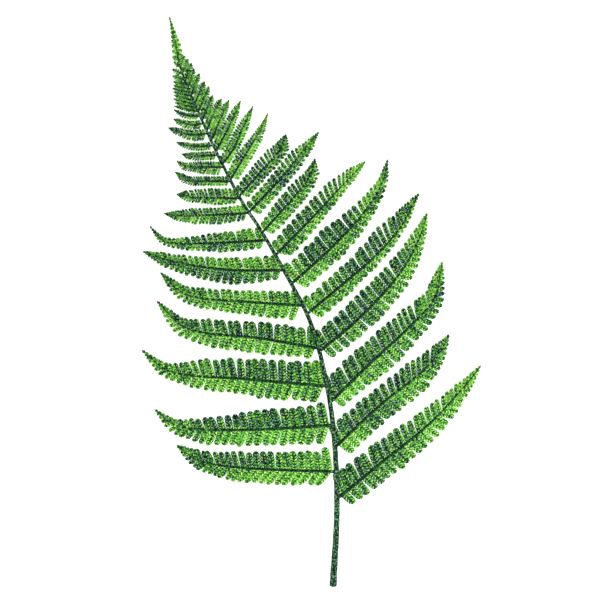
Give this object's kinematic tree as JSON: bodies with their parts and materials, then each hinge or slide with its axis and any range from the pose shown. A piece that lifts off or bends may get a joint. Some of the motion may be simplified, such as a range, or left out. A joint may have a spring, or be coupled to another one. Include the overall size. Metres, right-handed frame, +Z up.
{
  "type": "bracken frond",
  "caption": "Fern frond cut at the stem and laid down: an arched stem with two rows of pinnae, each cut to its rib into leaflets.",
  "frame": {"origin": "bottom centre of the frond's box, on the surface it lies on", "axes": "+Z up from the surface through the leaf's upper side, +Y up the frond from its cut end to its tip, +X to the right when the frond is seen from above with its tip away"},
  "size_m": [0.227, 0.3802, 0.0153],
  "materials": {
    "leaf_green": "satin living leaf, darker along the stem"
  },
  "bodies": {
    "root": {"frond": "leaf_green"}
  },
  "joints": []
}
